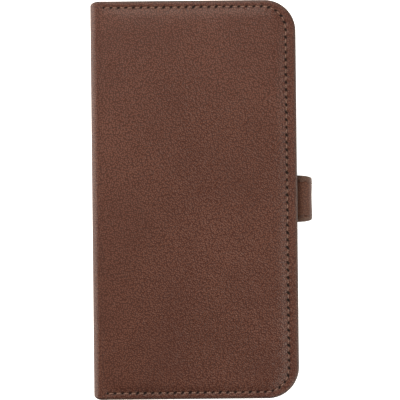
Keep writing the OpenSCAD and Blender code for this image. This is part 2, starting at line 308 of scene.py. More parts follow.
class Cover:
    """What one cover's leather and lining are drawn from."""

    def __init__(self, name, flip, depth, puff, offsets, window=None):
        self.name = name
        self.flip = flip
        self.depth = depth
        self.puff = puff  # 1 over foam padding, less over bare board
        self.offsets = offsets  # distances inside the seam line that get a ring of points
        self.window = window
        self.seed = len(name) * 3.7
        self.body = f"{name}_cover"

    def height(self, u, y, inside):
        """Height of the outer leather at distance inside the seam (negative outside it)."""
        middle = smooth_step(u, LEFT + 4, LEFT + 30) * smooth_step(RIGHT - u, 4, 30)
        crown = CROWN_H * (1 - (y / HALF_H) ** 2) * middle
        rise = smooth_step(inside, -0.1, 3.3)
        swell = SWELL_H * smooth_step(inside, 0.5, 7.0)
        padding = self.puff * (PAD_H * rise + swell + crown) * smooth_step(u, LEFT + 4, LEFT + 18)
        unevenness = WAVE_H * waviness(u, y, self.seed)
        hinge = HINGE_H * exp(-((u - LEFT - 4.6) / 1.2) ** 2)
        return (MARGIN_H * (1 - rise) + unevenness) * sewn(u) + padding - hinge

    def panel_height(self, u, y):
        """Height of the outer leather at a place inside the seam."""
        return self.height(u, y, min(SEAM_X - u, SEAM_Y - abs(y)))

    def solid_at(self, u, y, grow):
        """Whether a place lies further than grow outside the camera window, if there is one."""
        if not self.window:
            return True
        x, middle_y, r, reach = self.window
        nearest_y = min(max(y, middle_y - reach), middle_y + reach)
        return hypot(u - x, y - nearest_y) > r + grow


def seam_marks():
    """For each sample of the path: how far it lies past the nearest stitch hole, 1 along the seam, and
    a wave along the stitches."""
    on_seam = (PATH_ALONG > -0.01) & (PATH_ALONG < SEAM_LENGTH + 0.01)
    past_hole = ((PATH_ALONG / STITCH_STEP + 0.5) % 1 - 0.5) * STITCH_STEP
    wave = np.cos(2 * pi * PATH_ALONG / STITCH_STEP)
    return np.where(on_seam, past_hole, PITCH), on_seam.astype(float), wave


def hole_sizes():
    """For each sample of the path, the size of its nearest hole: no two punched holes are alike."""
    nearest = np.round(PATH_ALONG / STITCH_STEP).astype(int)
    sizes = [random.uniform(0.8, 1.15) for _ in range(nearest.max() - nearest.min() + 1)]
    return HOLE_R * np.array(sizes)[nearest - nearest.min()]


def turned_edge(surface, cover):
    """Returns rings of the leather's turned-in flap, the wall and the rounded edge."""
    u_edge = PATH_EDGE[:, 0]
    depth = sheet_depth(u_edge, cover.depth)
    round_end = MARGIN_H * sewn(u_edge)
    # Each ring's third number turns it toward the dark edge colour: edge paint, with painted shade where the
    # edge rounds away from the light.
    profile = [(1.8, -depth + 0.05, 0.2), (0.5, -depth, 0.5), (0.12, -depth + 0.14, 0.9),
               (0.0, -depth + 0.45, 1.0), (0.0, (-depth - EDGE_ROUND) / 2 - 0.1, 0.9)]
    for k in range(EDGE_STEPS + 1):
        angle = k / EDGE_STEPS * pi / 2
        inset = EDGE_ROUND * (1 - cos(angle))
        drop = EDGE_ROUND * 0.8 * (1 - sin(angle))
        profile.append((inset, round_end - drop, 0.85 * (1 - k / EDGE_STEPS)))
    rings = [surface.ring(PATH_EDGE + PATH_IN * inset, height, edge_paint_shade_highlight) for inset, height, edge_paint_shade_highlight in profile]
    margin_start = PATH_EDGE + PATH_IN * EDGE_ROUND
    margin_end = PATH_SEAM + PATH_IN * GROOVE_OFFSETS[0]
    for f in (0.33, 0.66):
        flat = margin_start + (margin_end - margin_start) * f
        rings.append(surface.ring(flat, round_end + 0.05 * sewn(flat[:, 0])))
    return rings


def groove_rings(surface, cover):
    """Returns rings across the seam's groove, puckered by the stitches, and up the padding."""
    past_hole, on_seam, wave = seam_marks()
    radius = hole_sizes()
    rings = []
    for offset in cover.offsets:
        flat = PATH_SEAM + PATH_IN * offset
        height = np.array([cover.height(u, y, offset) for u, y in flat])
        groove = exp(-(offset / 0.36) ** 2) * on_seam
        pucker = exp(-((abs(offset) - 0.8) / 0.7) ** 2) * on_seam * wave
        slanted = past_hole + HOLE_SLANT * offset
        at_hole = np.exp(-(slanted ** 2 + (HOLE_WIDTH * offset) ** 2) / radius ** 2)
        height -= sewn(flat[:, 0]) * (0.2 * groove + 0.07 * pucker) + 0.36 * at_hole
        # Painted shade: each stitch hole is painted near black and the groove a little darker, where shade
        # falls in them.
        pit_shade = np.maximum(at_hole, 0.3 * groove * sewn(flat[:, 0]))
        rings.append(surface.ring(flat, height, 0.0, pit_shade))
    return rings


def leather_surface(cover):
    """The outer leather of one cover with its turned edge, its seam groove and half the spine."""
    surface = Surface()
    rings = turned_edge(surface, cover) + groove_rings(surface, cover)
    surface.skin(rings)
    loops = [closed_at_spine(surface, rings[-1])]
    if cover.window:
        loops.append(window_rings(surface, cover))
    reach = cover.offsets[-1]
    inner = [(u, y, cover.panel_height(u, y))
             for u, y in inner_grid(SEAM_X - reach, SEAM_Y - reach, SEAM_R - reach)
             if cover.solid_at(u, y, WINDOW_RIM + 1.2)]
    surface.fill(loops, inner, lambda u, y: cover.solid_at(u, y, WINDOW_RIM))
    return surface


def inner_grid(u_end, y_end, corner_r, spacing=3.2, fine=0.55):
    """Grid points inside a ring that ends at u_end and y_end, dense across the fold and the spine."""
    columns = list(np.arange(MID_SPINE + fine, LEFT + 8, fine))
    columns += list(np.arange(columns[-1] + 1.2, u_end - 1.0, spacing))
    rows = np.arange(-y_end + 1.4, y_end - 1.2, spacing)
    corner_r = max(corner_r, 0.0)
    kept = []
    for u in columns:
        for y in rows:
            past_u = u - (u_end - corner_r)
            past_y = abs(y) - (y_end - corner_r)
            if past_u < 0 or past_y < 0 or hypot(past_u, past_y) < corner_r - 1.0:
                kept.append((u, y))
    return kept


def closed_at_spine(surface, ring, spacing=3.2):
    """The ring closed by a straight row of points along the middle of the spine."""
    y_low = surface.points[ring[-1]][1]
    y_high = surface.points[ring[0]][1]
    height = surface.points[ring[0]][2]
    rows = np.linspace(y_low, y_high, int((y_high - y_low) / spacing) + 1)[1:-1]
    return ring + surface.add([(MID_SPINE, y, height) for y in rows])


# ---- camera window

WINDOW_RIM = 1.3
WINDOW_R = 8.9
WINDOW_REACH = 8.0


def window_shape():
    """(middle x, middle y, radius of the round ends, reach of the straight sides) of the window."""
    openings = frame["record"]["physics"]["openings"]
    low, high = next(o["box_m"] for o in openings if o["name"] == "camera_window")
    return (low[0] + high[0]) / 2 / MM, (low[1] + high[1]) / 2 / MM, WINDOW_R, WINDOW_REACH


def outline(corners, side_steps):
    """Points round a closed outline of arcs and straight sides, counter-clockwise. A corner is (middle x,
    middle y, radius, first angle, turn, steps), and side_steps gives a side's steps from its length."""
    points = []
    for corner, after in zip(corners, corners[1:] + corners[:1]):
        x, y, r, start, turn, steps = corner
        for k in range(steps):
            angle = start + turn * k / steps
            points.append((x + r * cos(angle), y + r * sin(angle)))
        begin = np.array([x + r * cos(start + turn), y + r * sin(start + turn)])
        end = np.array([after[0] + after[2] * cos(after[3]), after[1] + after[2] * sin(after[3])])
        count = side_steps(np.linalg.norm(end - begin))
        points += [tuple(begin + (end - begin) * k / count) for k in range(count)]
    return np.array(points)


def pill(window, grow, step=0.6):
    """Points round the window's outline, grown by a distance."""
    x, y, r, reach = window
    arc = max(int(pi * r / step), 8)
    side = max(int(2 * reach / step), 4)
    return outline([(x, y + reach, r + grow, 0.0, pi, arc),
                    (x, y - reach, r + grow, pi, pi, arc)], lambda length: side)


def window_rings(surface, cover):
    """The window's turned edge. Returns its outermost ring."""
    rings = []
    # Each ring's third number turns the window's wall toward the dark edge colour: edge paint, with painted
    # shade down in the opening.
    profile = [(0.0, -cover.depth + 0.1, 0.9), (-0.05, -1.2, 1.0), (0.0, -0.6, 0.9), (0.1, -0.3, 0.7),
               (0.3, -0.1, 0.4), (0.6, -0.03, 0.15), (WINDOW_RIM, 0.0, 0.0)]
    for grow, height, edge_paint_shade_highlight in profile:
        flat = pill(cover.window, grow)
        base = np.array([cover.panel_height(u, y) for u, y in flat])
        share = smooth_step(grow, 0.0, 0.6)
        rings.append(surface.ring(flat, height + base * share, edge_paint_shade_highlight))
    surface.skin(rings, closed=True)
    return rings[-1]


FRONT = Cover("front", False, FRONT_DEPTH, 1.0, GROOVE_OFFSETS + PAD_RISE)
BACK = Cover("back", True, BACK_DEPTH, 0.3, GROOVE_OFFSETS, window_shape())


# ---- shader tools

def feed(tree, node, inputs):
    """Gives a node its inputs, each a socket to link or a plain value."""
    for key, value in inputs.items():
        if isinstance(value, bpy.types.NodeSocket):
            tree.links.new(value, node.inputs[key])
        else:
            node.inputs[key].default_value = value


def add_node(tree, kind, inputs, **settings):
    made = tree.nodes.new(kind)
    for key, value in settings.items():
        setattr(made, key, value)
    feed(tree, made, inputs)
    return made


def attribute(tree, name, output="Fac"):
    return add_node(tree, "ShaderNodeAttribute", {}, attribute_name=name).outputs[output]


def noise_texture(tree, vector, scale, detail, roughness):
    inputs = {"Vector": vector, "Scale": scale, "Detail": detail, "Roughness": roughness}
    return add_node(tree, "ShaderNodeTexNoise", inputs).outputs["Fac"]


def times(tree, a, share):
    return add_node(tree, "ShaderNodeMath", {0: a, 1: share}, operation="MULTIPLY").outputs[0]


def total(tree, result, *terms):
    for term in terms:
        result = add_node(tree, "ShaderNodeMath", {0: result, 1: term}, operation="ADD").outputs[0]
    return result


def ramp(tree, factor, low, high, to_low=0.0, to_high=1.0):
    """factor mapped from low..high to to_low..to_high, clamped."""
    inputs = {"Value": factor, "From Min": low, "From Max": high, "To Min": to_low, "To Max": to_high}
    return add_node(tree, "ShaderNodeMapRange", inputs).outputs["Result"]


def mix(tree, factor, a, b):
    """The colour a where factor is 0 and b where it is 1."""
    return add_node(tree, "ShaderNodeMix", {0: factor, 6: a, 7: b}, data_type="RGBA").outputs[2]


def bump(tree, height, distance, strength=1.0, normal=None):
    inputs = {"Height": height, "Distance": distance, "Strength": strength}
    if normal:
        inputs["Normal"] = normal
    return add_node(tree, "ShaderNodeBump", inputs).outputs["Normal"]


def new_material(name):
    material = bpy.data.materials.new(name)
    material.use_nodes = True
    return material, material.node_tree


def finish(material, inputs):
    """Gives the material's surface shader its inputs and returns the material."""
    tree = material.node_tree
    feed(tree, tree.nodes["Principled BSDF"], inputs)
    return material


def rgb(red, green, blue):
    return (red, green, blue, 1.0)


def darker(colour, share):
    return rgb(*(channel * share for channel in colour[:3]))


def object_place(tree):
    return add_node(tree, "ShaderNodeTexCoord", {}).outputs["Object"]


# ---- materials

GRAIN_ANGLE = radians(10)
# Near black: painted shade in stitch holes, seam grooves and pocket creases.
PIT_SHADE_COLOUR = rgb(0.007, 0.0022, 0.0012)


def grain_cells(tree, vector, feature):
    """Distances in the leather's pebbles, which are flat cells: F1 from the middle, or to the crease."""
    return add_node(tree, "ShaderNodeTexVoronoi", {"Vector": vector, "Scale": 1400.0, "Randomness": 0.9},
                    feature=feature, voronoi_dimensions="2D").outputs["Distance"]


def leather_material(name, light, dark, edge, grain_depth=0.05, specular=0.3):
    """Fine-grained leather: pebbles with creases between, soft mottling, and edges in the edge colour. The
    pebbles' middles and speckles are painted lighter and the creases darker, as painted highlight and shade
    of the grain; the edge colour is edge paint with painted shade on the covers and a painted highlight on
    the strap; holes and grooves are painted near black as painted shade.
    """
    material, tree = new_material(name)
    place = attribute(tree, "grain", "Vector")
    warp = add_node(tree, "ShaderNodeTexNoise", {"Vector": place, "Scale": 650.0, "Detail": 2.0})
    bent = add_node(tree, "ShaderNodeVectorMath", {0: warp.outputs["Color"], 1: (0.0003,) * 3, 2: place},
                    operation="MULTIPLY_ADD").outputs[0]
    laid = add_node(tree, "ShaderNodeMapping", {
        "Vector": bent, "Rotation": (0.0, 0.0, GRAIN_ANGLE), "Scale": (1.1, 1.1, 1.0)},
        vector_type="TEXTURE").outputs[0]
    cells = grain_cells(tree, laid, "F1")
    to_crease = grain_cells(tree, laid, "DISTANCE_TO_EDGE")
    fine = noise_texture(tree, place, 2400.0, 3.0, 0.6)
    speckle = noise_texture(tree, laid, 3000.0, 2.0, 0.6)
    mottle = noise_texture(tree, place, 110.0, 2.0, 0.6)
    clouds = noise_texture(tree, place, 24.0, 1.0, 0.5)

    # Tone: the mottling and clouds are the leather's own random tone; the speckles and the pebbles' middles
    # are painted lighter as painted glints and highlight, and the creases painted darker as painted shade.
    tone = total(tree, ramp(tree, mottle, 0.3, 0.7, -0.13, 0.13), ramp(tree, clouds, 0.3, 0.7, -0.2, 0.2),
                 ramp(tree, speckle, 0.3, 0.7, 0.0, 0.6), ramp(tree, cells, 0.1, 0.6, 0.95, -0.8),
                 ramp(tree, to_crease, 0.0, 0.12, -0.4, 0.0))
    colour = mix(tree, tone, dark, light)
    # Edge colour: edge paint, with painted shade on the covers' turned edges and a painted highlight on the
    # strap's rims.
    colour = mix(tree, attribute(tree, "edge_paint_shade_highlight"), colour, edge)
    # Painted shade: holes, grooves and creases turn toward near black.
    pit_shade = ramp(tree, attribute(tree, "pit_shade"), 0.1, 0.5)
    colour = mix(tree, pit_shade, colour, PIT_SHADE_COLOUR)
    roughness = total(tree, ramp(tree, speckle, 0.3, 0.7, 0.36, 0.48), times(tree, pit_shade, 0.5))

    height = total(tree, ramp(tree, to_crease, 0.0, 0.3), times(tree, fine, 0.4), times(tree, speckle, 0.8))
    folds = noise_texture(tree, place, 210.0, 2.0, 0.4)
    normal = bump(tree, folds, 0.12 * MM, 0.6, bump(tree, height, grain_depth * MM))
    return finish(material, {"Base Color": colour, "Roughness": roughness, "Normal": normal,
                             "Specular IOR Level": specular})


def suede_material(name, light, dark):
    """Brushed microfibre: short nap with faint strokes."""
    material, tree = new_material(name)
    place = attribute(tree, "grain", "Vector")
    stretched = add_node(tree, "ShaderNodeMapping", {"Vector": place, "Scale": (1.0, 0.45, 1.0)}).outputs[0]
    nap = noise_texture(tree, stretched, 2400.0, 4.0, 0.7)
    strokes = noise_texture(tree, stretched, 120.0, 3.0, 0.55)
    tone = total(tree, ramp(tree, nap, 0.25, 0.75, 0.0, 0.6), ramp(tree, strokes, 0.3, 0.7, 0.0, 0.4))
    return finish(material, {
        "Base Color": mix(tree, tone, dark, light), "Normal": bump(tree, nap, 0.06 * MM, 0.8),
        "Roughness": 0.92, "Specular IOR Level": 0.2, "Sheen Weight": 0.2, "Sheen Roughness": 0.5})


def thread_material(name, light, dark):
    """Twisted waxed thread; the twist runs over the UV map, its stripes painted light and dark as painted
    highlight and shade of the twist.
    """
    material, tree = new_material(name)
    place = add_node(tree, "ShaderNodeUVMap", {}).outputs[0]
    twist = add_node(tree, "ShaderNodeTexWave", {"Vector": place, "Scale": 0.9, "Distortion": 0.4},
                     bands_direction="DIAGONAL").outputs["Fac"]
    return finish(material, {
        "Base Color": mix(tree, twist, dark, light), "Normal": bump(tree, twist, 0.06 * MM),
        "Roughness": 0.62, "Specular IOR Level": 0.35})


def plastic_material(name, colour, roughness):
    """Moulded flexible plastic with a fine spark-eroded texture."""
    material, tree = new_material(name)
    place = object_place(tree)
    texture = noise_texture(tree, place, 3200.0, 3.0, 0.6)
    broad = noise_texture(tree, place, 60.0, 2.0, 0.5)
    return finish(material, {
        "Base Color": mix(tree, broad, darker(colour, 0.75), colour),
        "Normal": bump(tree, texture, 0.015 * MM),
        "Roughness": ramp(tree, texture, 0.3, 0.7, roughness - 0.06, roughness + 0.08)})


def board_material(name, colour, scale=900.0):
    """Pressed fibre: board, foam or paper, told apart by colour and scale."""
    material, tree = new_material(name)
    fibres = noise_texture(tree, object_place(tree), scale, 5.0, 0.7)
    return finish(material, {
        "Base Color": mix(tree, fibres, darker(colour, 0.7), colour),
        "Normal": bump(tree, fibres, 0.05 * MM),
        "Roughness": 0.9, "Specular IOR Level": 0.2})


def metal_material(name, colour, roughness):
    """Plated metal with fine brushing along X."""
    material, tree = new_material(name)
    place = {"Vector": object_place(tree), "Scale": (0.05, 1.0, 1.0)}
    brushing = noise_texture(tree, add_node(tree, "ShaderNodeMapping", place).outputs[0], 5000.0, 2.0, 0.5)
    return finish(material, {
        "Base Color": mix(tree, brushing, darker(colour, 0.8), colour), "Metallic": 1.0,
        "Roughness": ramp(tree, brushing, 0.3, 0.7, roughness - 0.08, roughness + 0.1)})


# Each leather's third colour is its edge colour: edge paint, darkened on the outer leather as painted shade
# on turned edges, and lighter and greyer on the strap as a painted highlight on its rims.
OUTER = leather_material("outer_leather", rgb(0.105, 0.0398, 0.0254), rgb(0.042, 0.0110, 0.0057),
                         rgb(0.024, 0.018, 0.015), 0.065, 0.28)
STRAP = leather_material("strap_leather", rgb(0.096, 0.041, 0.0255), rgb(0.050, 0.019, 0.0120),
                         rgb(0.075, 0.054, 0.043), 0.06, 0.12)
POCKET = leather_material("pocket_leather", rgb(0.130, 0.056, 0.040), rgb(0.075, 0.030, 0.020),
                          rgb(0.040, 0.022, 0.018), 0.035)
LINING = suede_material("lining_suede", rgb(0.155, 0.074, 0.046), rgb(0.088, 0.040, 0.025))
# The thread's light colour is raised as painted glints along its twist.
THREAD = thread_material("thread", rgb(0.230, 0.130, 0.095), rgb(0.080, 0.036, 0.025))
DARK_THREAD = thread_material("strap_thread", rgb(0.075, 0.034, 0.022), rgb(0.036, 0.015, 0.010))
SHELL = plastic_material("shell_plastic", rgb(0.017, 0.013, 0.012), 0.48)
BOARD = board_material("stiffening_board", rgb(0.27, 0.23, 0.19))
SKIVED = board_material("thinned_leather", rgb(0.095, 0.045, 0.028))
FOAM = board_material("padding", rgb(0.5, 0.46, 0.4), 500.0)
ADHESIVE = board_material("adhesive_pad", rgb(0.7, 0.66, 0.6), 300.0)
STEEL = metal_material("plate_steel", rgb(0.5, 0.5, 0.5), 0.35)
MAGNET = metal_material("magnet_plating", rgb(0.62, 0.62, 0.64), 0.25)


# ---- outer leather

GRAIN_SHIFT = 0.3  # metres from one piece's place in the grain to the next one's


def lay_sheet(cover, name, part, surface, material, inside, grain_start):
    """Wraps a sheet round its cover and half the spine. It stands for the cover's CAD node of that part, and
    the front one for the spine's too. inside turns its face in."""
    faces = surface.faces
    if cover.flip != inside:
        faces = [tuple(reversed(f)) for f in faces]
    obj = new_object(f"{cover.name}_{name}", wrap(surface.points, cover.flip), faces, material, closed=False)
    give_attributes(obj, surface, surface.points, grain_start)
    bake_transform(obj)
    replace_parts(obj, f"{cover.name}_{part}")
    if cover is FRONT:
        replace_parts(obj, f"spine_{part}")
    return obj


def make_covers():
    for number, cover in enumerate((FRONT, BACK)):
        leather = lay_sheet(cover, "cover_leather", "leather", leather_surface(cover), OUTER,
                            False, GRAIN_SHIFT * number)


# ---- lining

LINING_INSET = 1.1
LINING_DROP = 0.2


def lining_surface(cover):
    """The lining of one cover and half the spine: a thin sheet with a rounded edge."""
    surface = Surface()
    depth = sheet_depth(PATH_EDGE[:, 0], cover.depth)
    profile = ((0.0, 0.06, 1.0), (0.0, -0.08, 0.8), (0.1, -0.16, 0.4), (0.4, -LINING_DROP, 0.0),
               (2.0, -LINING_DROP, 0.0), (5.0, -LINING_DROP, 0.0))
    rings = [surface.ring(PATH_EDGE + PATH_IN * (LINING_INSET + inset), lift - depth, edge_paint_shade_highlight)
             for inset, lift, edge_paint_shade_highlight in profile]
    surface.skin(rings)
    loops = [closed_at_spine(surface, rings[-1])]
    if cover.window:
        rim = [surface.ring(pill(cover.window, grow), lift - cover.depth, edge_paint_shade_highlight)
               for grow, lift, edge_paint_shade_highlight in ((0.05, 0.1, 0.9), (0.15, -0.16, 0.3), (0.6, -LINING_DROP, 0.0))]
        surface.skin(rim, closed=True)
        loops.append(rim[-1])
    reach = LINING_INSET + 5.0
    inner = [(u, y, -sheet_depth(u, cover.depth) - LINING_DROP)
             for u, y in inner_grid(RIGHT - reach, HALF_H - reach, CORNER_R - reach, 5.0)
             if cover.solid_at(u, y, 2.0)]
    surface.fill(loops, inner, lambda u, y: cover.solid_at(u, y, 0.5))
    return surface


def make_linings():
    for number, cover in enumerate((FRONT, BACK)):
        lining = lay_sheet(cover, "lining_suede", "lining", lining_surface(cover), LINING, True,
                           GRAIN_SHIFT * (2 + number))


# ---- stitches

class Stitching:
    """Many short threads in one mesh, each a capsule that dives into its hole at both ends."""
    SIDES = 8
    STEPS = 9

    def __init__(self):
        self.points = []
        self.faces = []
        self.uvs = []

    def add(self, start, end, up, radius=THREAD_R, rise=0.0, sink=0.4):
        start, end, up = (np.asarray(v, float) for v in (start, end, up))
        length = np.linalg.norm(end - start)
        way = (end - start) / length
        side = np.cross(way, up)
        base = len(self.points)
        for i in range(self.STEPS + 1):
            t = i / self.STEPS
            arch = sin(pi * t) ** 0.55
            centre = start + (end - start) * t + up * (arch * (rise + sink) - sink)
            thick = radius * (0.55 + 0.45 * sin(pi * t) ** 0.4)
            for k in range(self.SIDES):
                angle = 2 * pi * k / self.SIDES
                self.points.append(centre + thick * (cos(angle) * side + 0.85 * sin(angle) * up))
        for i in range(self.STEPS):
            for k in range(self.SIDES):
                corners = ((i, k), (i, k + 1), (i + 1, k + 1), (i + 1, k))
                self.faces.append([base + row * self.SIDES + turn % self.SIDES for row, turn in corners])
                self.uvs += [(row / self.STEPS * length, turn / self.SIDES) for row, turn in corners]
        first = range(base, base + self.SIDES)
        last = range(base + self.STEPS * self.SIDES, base + (self.STEPS + 1) * self.SIDES)
        for cap in (first[::-1], last):
            self.faces.append(list(cap))
            self.uvs += [(0.0, 0.0)] * self.SIDES

    def make(self, name, body=None, material=THREAD):
        obj = new_object(name, self.points, self.faces, material, body)
        layer = obj.data.uv_layers.new(name="UVMap")
        layer.data.foreach_set("uv", np.array(self.uvs, np.float32).ravel())
        return obj


GROOVE_H = -0.5
STITCH_WANDER = 0.08


def make_seams():
    """The seam that shows on the outside of both covers."""
    for cover in (FRONT, BACK):
        threads = Stitching()
        up = (0, 0, -1.0 if cover.flip else 1.0)
        for k in range(STITCHES):
            ends = []
            for share in (0.16, 0.84):
                _, seam, inward = seam_sample((k + share) * STITCH_STEP)
                flat = seam + inward * (random.random() - 0.5) * STITCH_WANDER
                ends.append(wrap([(*flat, GROOVE_H * sewn(flat[0]))], cover.flip)[0])
            threads.add(*ends, up)
        seam = threads.make(f"{cover.name}_seam", cover.body)
        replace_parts(seam, f"{cover.name}_stitching")


# ---- pockets

def cover_outline(x0, inset, step=2.0):
    """Outline of a panel from x0 to the cover's free edge, from its lower left corner."""
    r = CORNER_R - inset
    right = RIGHT - inset
    top = HALF_H - inset
    quarter = pi / 2
    return outline([(x0, -top, 0.0, 0.0, 0.0, 0), (right - r, r - top, r, -quarter, quarter, 16),
                    (right - r, top - r, r, 0.0, quarter, 16), (x0, top, 0.0, 0.0, 0.0, 0)],
                   lambda length: max(int(length / step), 1))


def outward_normals(loop):
    """Unit normals out of a closed counter-clockwise outline."""
    ahead = np.roll(loop, -1, axis=0) - loop
    behind = loop - np.roll(loop, 1, axis=0)
    way = ahead / np.linalg.norm(ahead, axis=1)[:, None] + behind / np.linalg.norm(behind, axis=1)[:, None]
    way /= np.linalg.norm(way, axis=1)[:, None]
    return np.column_stack([way[:, 1], -way[:, 0]])


CREASE = ((1.3, 0.0), (1.1, 0.0), (0.9, 1.0), (0.75, 1.0), (0.5, 0.0))  # inset from the edge, share of depth
CREASE_DEPTH = 0.1
PANEL_ROUND = 0.2
PANEL_STEPS = 6


def flat_panel(name, edge, low, high, grain_start):
    """A thin flat sheet of pocket leather with rounded, finished edges and a line creased along them."""
    surface = Surface()
    normals = outward_normals(edge)
    # The creased line is painted darker as painted shade in the crease.
    rings = [surface.ring(edge - normals * inset, low + CREASE_DEPTH * crease, 0.0, 0.45 * crease)
             for inset, crease in CREASE]
    for k in range(PANEL_STEPS + 1):
        angle = -pi / 2 + pi * k / PANEL_STEPS
        inset = PANEL_ROUND * (1 - cos(angle))
        height = (low + high) / 2 + (high - low) / 2 * sin(angle)
        rings.append(surface.ring(edge - normals * inset, height, max(cos(angle), 0) ** 0.5))
    rings.append(surface.ring(edge - normals * 1.2, high))
    surface.solid(rings)
    obj = new_object(name, surface.points, surface.faces, POCKET, "front_cover")
    give_attributes(obj, surface, surface.points, grain_start)
    sharpen(obj, 50)
    return obj


NOTCH_R = 9.0
NOTCH_CORNER_R = 1.6


def notched(edge, x0):
    """The outline with a round thumb notch in its straight edge at x0, and the notch's corners rounded."""
    between = NOTCH_R + NOTCH_CORNER_R
    turn = asin(NOTCH_CORNER_R / between)
    corner_y = between * cos(turn)
    kept = [tuple(p) for p in edge if not (abs(p[0] - x0) < 0.01 and abs(p[1]) < corner_y + 0.5)]
    last_upper = max(i for i, p in enumerate(kept) if abs(p[0] - x0) < 0.01 and p[1] > 0)
    corner = [(x0 + NOTCH_CORNER_R * (1 - cos(a)), corner_y - NOTCH_CORNER_R * sin(a))
              for a in np.linspace(0.0, pi / 2 - turn, 8)]
    arc = [(x0 + NOTCH_R * sin(a), NOTCH_R * cos(a)) for a in np.linspace(turn, pi - turn, 25)[1:-1]]
    other_corner = [(x, -y) for x, y in reversed(corner)]
    return np.array(kept[:last_upper + 1] + corner + arc + other_corner + kept[last_upper + 1:])


POCKETS = ("cash_pocket", "card_pocket_1", "card_pocket_2", "card_pocket_3")


def make_pockets():
    for number, node in enumerate(POCKETS):
        low, high = box(node)
        edge = cover_outline(low[0], RIGHT - high[0])
        if node == POCKETS[-1]:
            edge = notched(edge, low[0])
        panel = flat_panel(node + "_leather", edge, low[2] + 0.02, high[2] - 0.02, GRAIN_SHIFT * (4 + number))
        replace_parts(panel, node)


def pocket_level(x):
    """Height of the lowest pocket panel at x, where the inner side of the seam shows."""
    for node in reversed(POCKETS):
        low, _ = box(node)
        if x > low[0] + 0.8:
            return low[2]
    return FRONT_LOW[2] - 0.2


def make_inner_seam():
    """The same seam seen from inside, over the pockets."""
    threads = Stitching()
    for k in range(STITCHES):
        start, middle, end = (seam_sample((k + share) * STITCH_STEP)[1] for share in (0.1, 0.5, 0.9))
        level = pocket_level(middle[0])
        threads.add((*start, level), (*end, level), (0, 0, -1.0), radius=0.24, rise=0.06, sink=0.2)
    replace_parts(threads.make("pocket_seam", "front_cover"), "pocket_stitching")


# ---- phone shell

def rounded_loop(x0, x1, y1, radius, arc_steps=10, side_steps=24):
    """A rounded rectangle with the same number of points for every radius."""
    quarter = pi / 2
    middles = ((x1 - radius, radius - y1), (x1 - radius, y1 - radius),
               (x0 + radius, y1 - radius), (x0 + radius, radius - y1))
    return outline([(x, y, radius, (k - 1) * quarter, quarter, arc_steps)
                    for k, (x, y) in enumerate(middles)], lambda length: side_steps)


SHELL_WALL = 1.2
PAD_T = 0.5
LIP_H = 0.8
PHONE_R = 8.8
SHELL_WINDOW_R = 8.0


def carve(obj, cutters):
    """Takes the cutters out of a closed mesh for good."""
    for cutter in cutters:
        modifier = obj.modifiers.new("cut", "BOOLEAN")
        modifier.operation = "DIFFERENCE"
        modifier.solver = "EXACT"
        modifier.object = cutter
    bpy.context.view_layer.update()
    evaluated = obj.evaluated_get(bpy.context.evaluated_depsgraph_get())
    result = bpy.data.meshes.new_from_object(evaluated)
    obj.modifiers.clear()
    obj.data = result
    for cutter in cutters:
        bpy.data.objects.remove(cutter)


def prism(loop, place):
    """A closed cutter: the loop at depth 0 and 1, put in space by place(a, b, depth)."""
    count = len(loop)
    points = [place(a, b, 0.0) for a, b in loop] + [place(a, b, 1.0) for a, b in loop]
    faces = [(i, (i + 1) % count, count + (i + 1) % count, count + i) for i in range(count)]
    faces += [tuple(reversed(range(count))), tuple(range(count, 2 * count))]
    return new_object("cutter", points, faces, SHELL)


def slot_loop(width, height, steps=9):
    """A slot with round ends, centred."""
    r = height / 2
    reach = width / 2 - r
    ends = [(reach, 0.0, r, -pi / 2, pi, steps), (-reach, 0.0, r, pi / 2, pi, steps)]
    return outline(ends, lambda length: 1)


PORTS = ((0, 13, 5.4), (-20, 14, 2.6), (20, 14, 2.6))
BUTTONS = (("power_button_pad", 1, 30, 14), ("volume_down_pad", -1, 24, 11), ("volume_up_pad", -1, 38, 11))


def make_shell():
    """The moulded tray with its lip, cut through for the camera and for the ports (x, width, height) of
    PORTS, with the pads (name, side, y, length) of BUTTONS on it."""
    x0 = SHELL_LOW[0] + PAD_T + SHELL_WALL
    x1 = SHELL_HIGH[0] - PAD_T - SHELL_WALL
    y1 = SHELL_HIGH[1] - SHELL_WALL
    base, top = SHELL_LOW[2], SHELL_HIGH[2]
    bay = base + SHELL_WALL
    lip = top - LIP_H
    profile = [(-1.6, bay), (-0.9, bay + 0.05), (-0.3, bay + 0.35), (0.0, bay + 1.1), (0.0, lip - 0.7),
               (-0.15, lip - 0.15), (-0.5, lip), (-0.75, lip + 0.2), (-0.8, lip + 0.45),
               (-0.7, top - 0.1), (-0.45, top), (0.55, top), (0.95, top - 0.12), (1.15, top - 0.45),
               (1.2, top - 1.0), (1.2, base + 1.6), (1.08, base + 0.9), (0.75, base + 0.35),
               (0.25, base + 0.06), (-0.6, base)]
    surface = Surface()
    surface.solid([surface.ring(rounded_loop(x0 - grow, x1 + grow, y1 + grow, PHONE_R + grow), z)
                   for grow, z in profile])
    shell = new_object("phone_shell_moulding", surface.points, surface.faces, SHELL)
    mid_x = (x0 + x1) / 2
    mid_z = (bay + lip) / 2
    window = (*window_shape()[:2], SHELL_WINDOW_R, WINDOW_REACH)
    cutters = [prism(pill(window, 0.0), lambda a, b, d: (a, b, base - 1 + 3.2 * d))]
    for x, width, height in PORTS:
        cutters.append(prism(slot_loop(width, height), lambda a, b, d, x=x: (
            mid_x + x + a, -y1 - SHELL_WALL - 1 + 3.0 * d, mid_z + b)))
    carve(shell, cutters)
    sharpen(shell, 40)
    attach(shell, "back_cover")
    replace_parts(shell, "phone_shell")
    for name, side, y, length in BUTTONS:
        button_pad(name, side, y, length, x0 if side < 0 else x1, mid_z)


